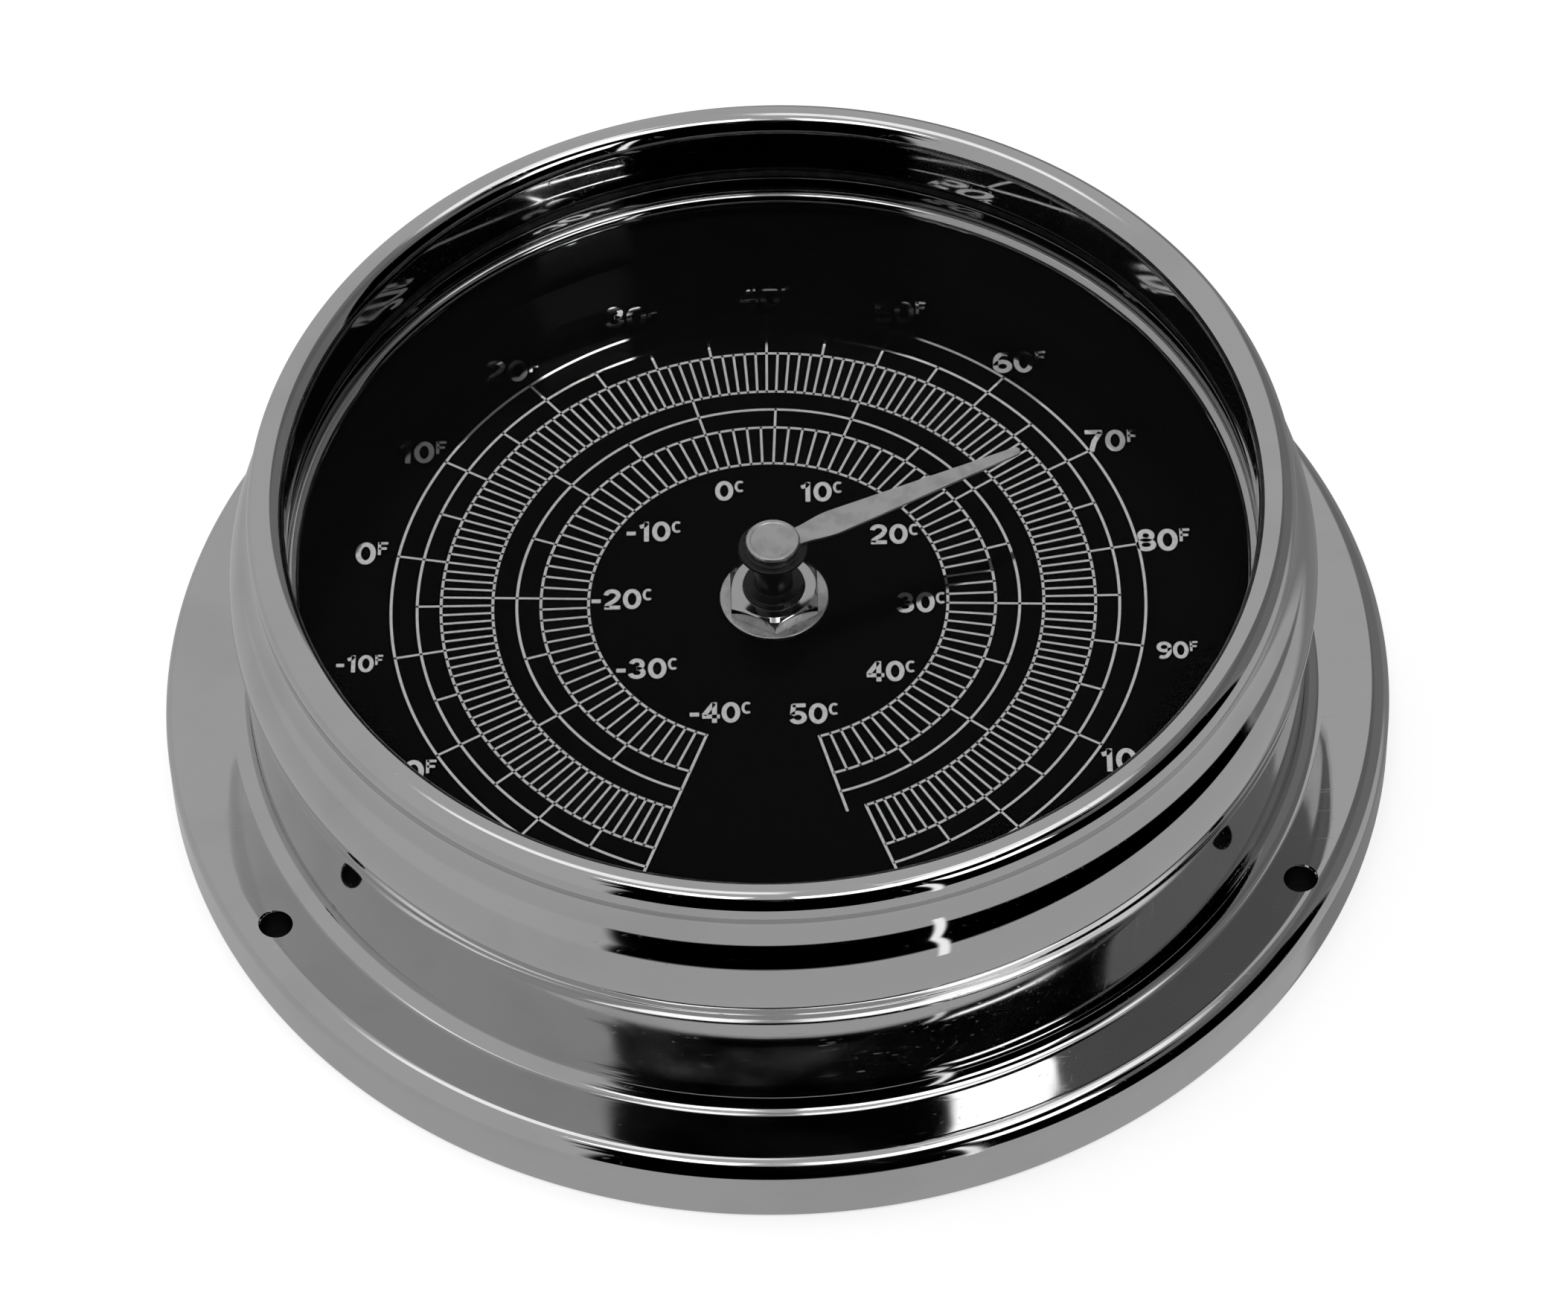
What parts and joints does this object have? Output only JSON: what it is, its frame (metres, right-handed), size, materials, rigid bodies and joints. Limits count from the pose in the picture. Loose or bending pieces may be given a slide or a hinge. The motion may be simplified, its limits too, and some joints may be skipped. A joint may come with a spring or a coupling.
{
  "type": "dial thermometer",
  "caption": "Round bulkhead dial thermometer: chromed flanged case, screwed bezel with flat glass, black double-scale dial, bimetal movement, turning pointer and rear zero adjuster.",
  "frame": {"origin": "on the mounting plane, under the centre of the dial", "axes": "+Z along the instrument's axis, out of the wall and through the glass; +Y towards the dial's 12 o'clock, +X towards 3 o'clock"},
  "size_m": [0.2, 0.2, 0.0583],
  "materials": {
    "case_chrome": "mirror-polished chrome plate on brass, satin in the flange's dish",
    "bezel_chrome": "mirror-polished chrome plate",
    "glass": "clear flat mineral glass with ground edges",
    "gasket_rubber": "matt black rubber",
    "retainer_chrome": "polished nickel-chrome",
    "sight_chrome": "polished chrome with fine turning marks",
    "dial_black": "gloss black enamel with printed pale grey scale",
    "washer_nickel": "satin nickel plate",
    "nut_nickel": "turned nickel plate with fine tool marks",
    "bush_black": "chemically blackened brass",
    "brass": "turned brass",
    "spindle_steel": "polished steel",
    "pointer_silver": "matt silver lacquer",
    "cap_polished": "satin top with a polished chamfer",
    "screw_steel": "zinc-plated steel",
    "bimetal": "rolled bimetal strip",
    "spring_steel": "hardened spring steel",
    "cover_painted": "satin black lacquer on pressed brass"
  },
  "bodies": {
    "case": {"case_body": "case_chrome", "bezel_ring": "bezel_chrome", "glass": "glass", "glass_gasket": "gasket_rubber", "glass_retaining_ring": "retainer_chrome", "sight_ring": "sight_chrome", "dial_plate": "dial_black", "nut_washer": "washer_nickel", "hex_nut": "nut_nickel", "threaded_bush": "bush_black", "front_bearing": "brass", "movement_plate": "brass", "bridge_pillars": "brass", "movement_bridge": "brass", "bridge_screws": "screw_steel", "friction_washer": "spring_steel", "rear_cover": "cover_painted", "rear_cover_screws": "screw_steel"},
    "zero_adjuster": {"adjuster_shaft": "brass", "rear_bearing": "brass", "adjuster_arm": "brass", "anchor_post": "brass", "adjuster_clip": "spring_steel"},
    "pointer": {"pointer_spindle": "spindle_steel", "pointer_hub": "pointer_silver", "pointer_blade": "pointer_silver", "hub_cap": "cap_polished", "coil_collet": "brass", "bimetal_coil": "bimetal"}
  },
  "joints": [
    {"name": "zero_adjust", "type": "hinge", "parent": "case", "child": "zero_adjuster", "pos_m": [0, 0, 0.008], "axis": [0, 0, -1], "range_deg": [-10, 10]},
    {"name": "pointer_turn", "type": "hinge", "parent": "zero_adjuster", "child": "pointer", "pos_m": [0, 0, 0.03], "axis": [0, 0, -1], "range_deg": [-225.4, 98.6], "stiffness_Nm_per_rad": 0.0001, "deforming": ["bimetal_coil"]}
  ]
}
